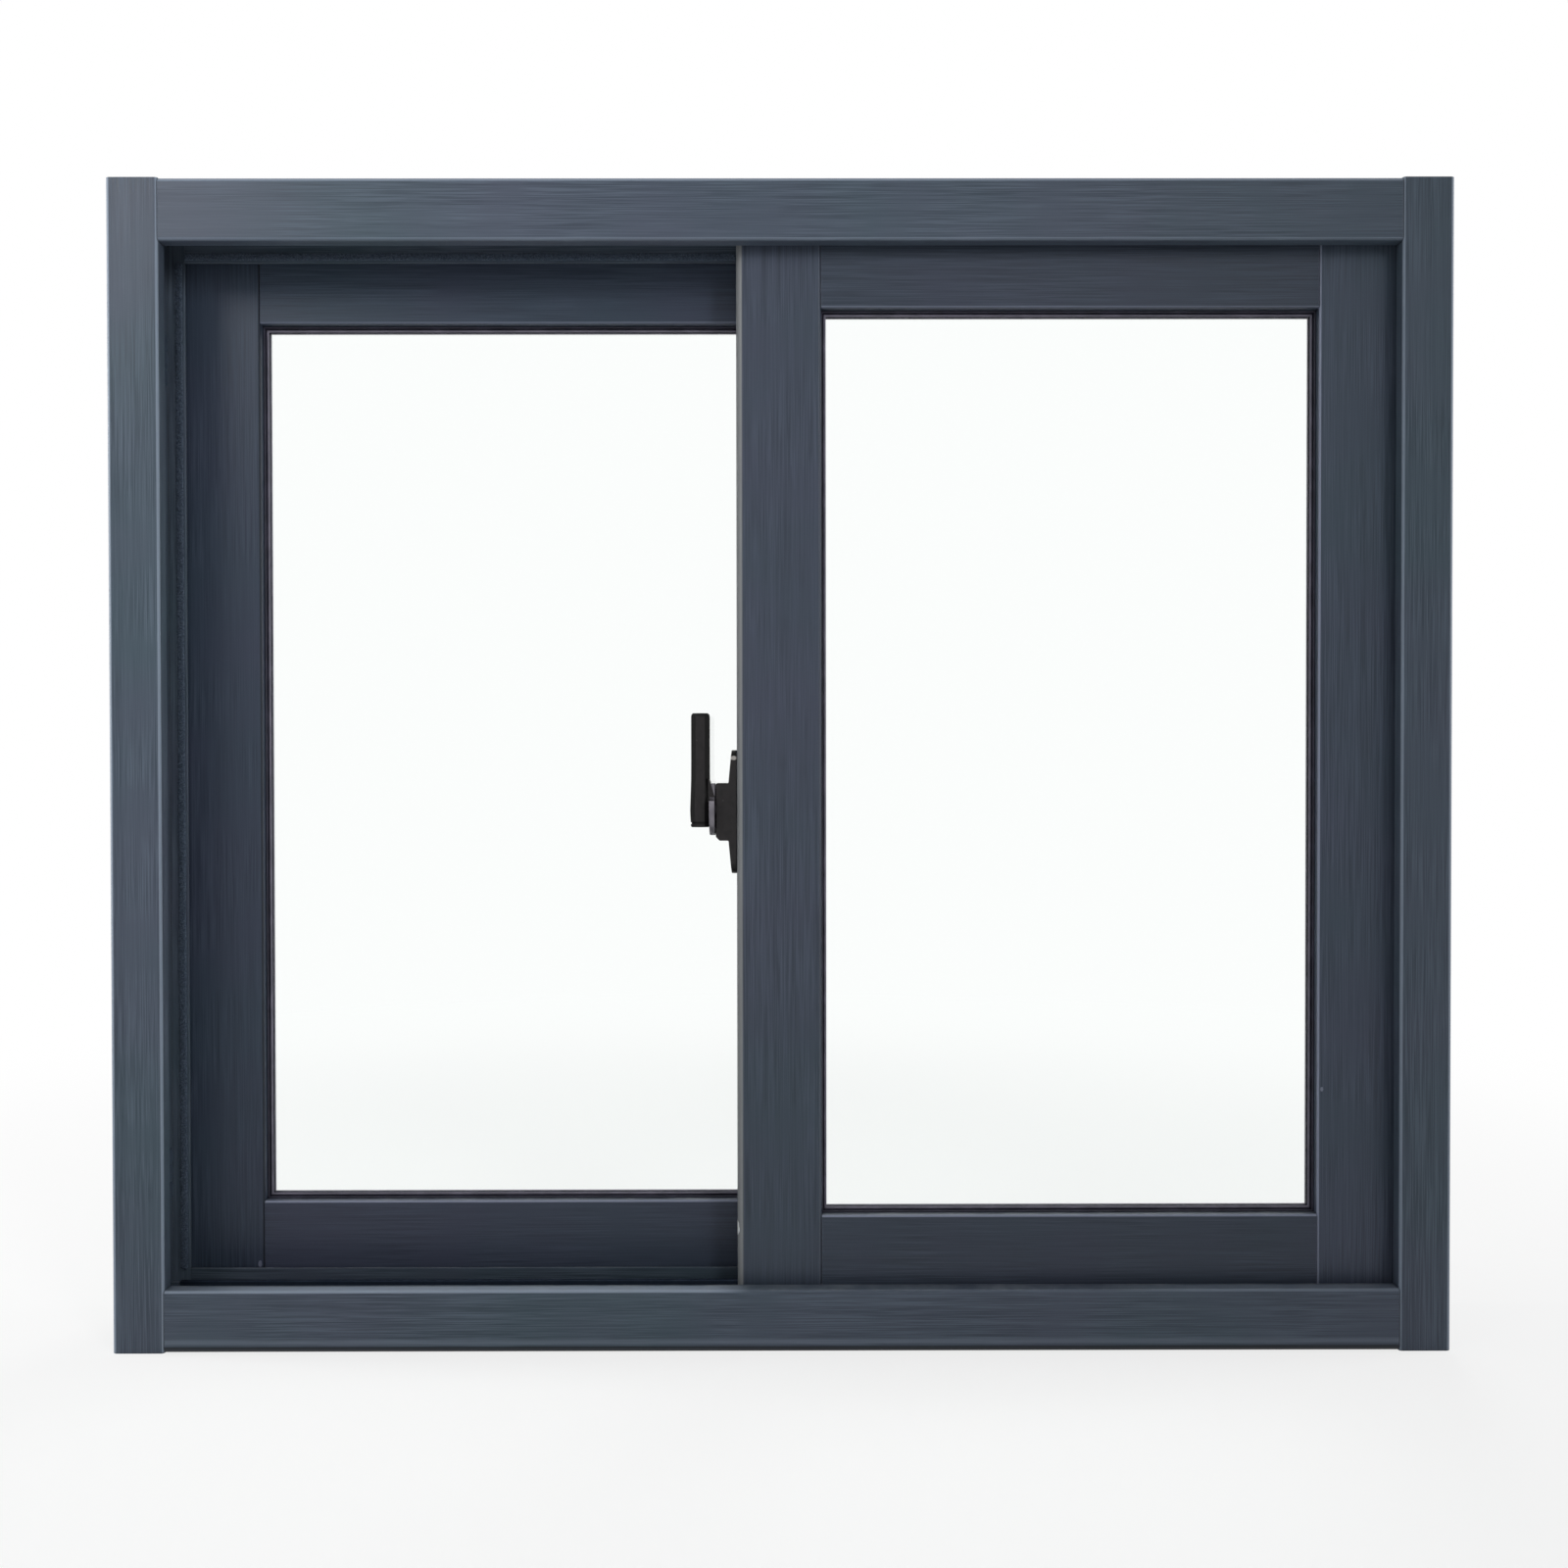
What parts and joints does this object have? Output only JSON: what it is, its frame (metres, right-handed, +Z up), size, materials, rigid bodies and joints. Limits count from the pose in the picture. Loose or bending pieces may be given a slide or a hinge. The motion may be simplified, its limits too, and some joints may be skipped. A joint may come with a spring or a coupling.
{
  "type": "horizontal sliding window",
  "caption": "Aluminium sliding window: outer frame, a room-side and an outer glazed sash on sill tracks, and a crescent lock on the meeting stile.",
  "frame": {"origin": "middle of the underside, half way through the frame's depth", "axes": "+X along the width, to the right seen from the room; +Y to the outside; +Z up"},
  "size_m": [1.03, 0.11, 0.9],
  "materials": {
    "frame_coating": "satin powder coating, dark blue-grey",
    "sash_coating": "satin powder coating, dark blue-grey",
    "clear_glass": "clear float glass, 5 mm",
    "black_rubber": "matt black glazing rubber",
    "lock_black": "black coated zinc casting",
    "cam_metal": "worn metal rim",
    "bright_steel": "stainless steel",
    "screw_steel": "zinc-plated steel",
    "grey_pile": "woven pile weather strip",
    "roller_nylon": "black nylon"
  },
  "bodies": {
    "frame": {"frame_head": "frame_coating", "frame_jamb_left": "frame_coating", "frame_jamb_right": "frame_coating", "frame_sill": "frame_coating", "front_track_cap": "bright_steel", "head_pile": "grey_pile", "left_bumpers": "black_rubber", "left_frame_screws": "screw_steel", "left_jamb_pile": "grey_pile", "rear_track_cap": "bright_steel", "right_bumpers": "black_rubber", "right_frame_screws": "screw_steel", "right_jamb_pile": "grey_pile", "sill_pile": "grey_pile"},
    "front_sash": {"front_bottom_rail": "sash_coating", "front_corner_screws": "screw_steel", "front_glass": "clear_glass", "front_interlock": "sash_coating", "front_jamb_stile": "sash_coating", "front_meeting_stile": "sash_coating", "front_outside_gasket": "black_rubber", "front_rollers": "roller_nylon", "front_room_gasket": "black_rubber", "front_top_rail": "sash_coating", "lock_base": "lock_black", "lock_screws": "lock_black"},
    "lock_handle": {"lock_cam": "cam_metal", "lock_lever": "lock_black", "lock_spindle": "cam_metal"},
    "rear_sash": {"lock_keeper": "lock_black", "rear_bottom_rail": "sash_coating", "rear_corner_screws": "screw_steel", "rear_glass": "clear_glass", "rear_interlock": "sash_coating", "rear_jamb_stile": "sash_coating", "rear_meeting_stile": "sash_coating", "rear_outside_gasket": "black_rubber", "rear_rollers": "roller_nylon", "rear_room_gasket": "black_rubber", "rear_top_rail": "sash_coating"}
  },
  "joints": [
    {"name": "front_sash_slide", "type": "slide", "parent": "frame", "child": "front_sash", "axis": [-1, 0, 0], "range_m": [0, 0.395]},
    {"name": "rear_sash_slide", "type": "slide", "parent": "frame", "child": "rear_sash", "axis": [1, 0, 0], "range_m": [0, 0.44]},
    {"name": "lock_turn", "type": "hinge", "parent": "front_sash", "child": "lock_handle", "pos_m": [-0.054, -0.02, 0.417], "axis": [1, 0, 0], "range_deg": [0, 180]}
  ]
}
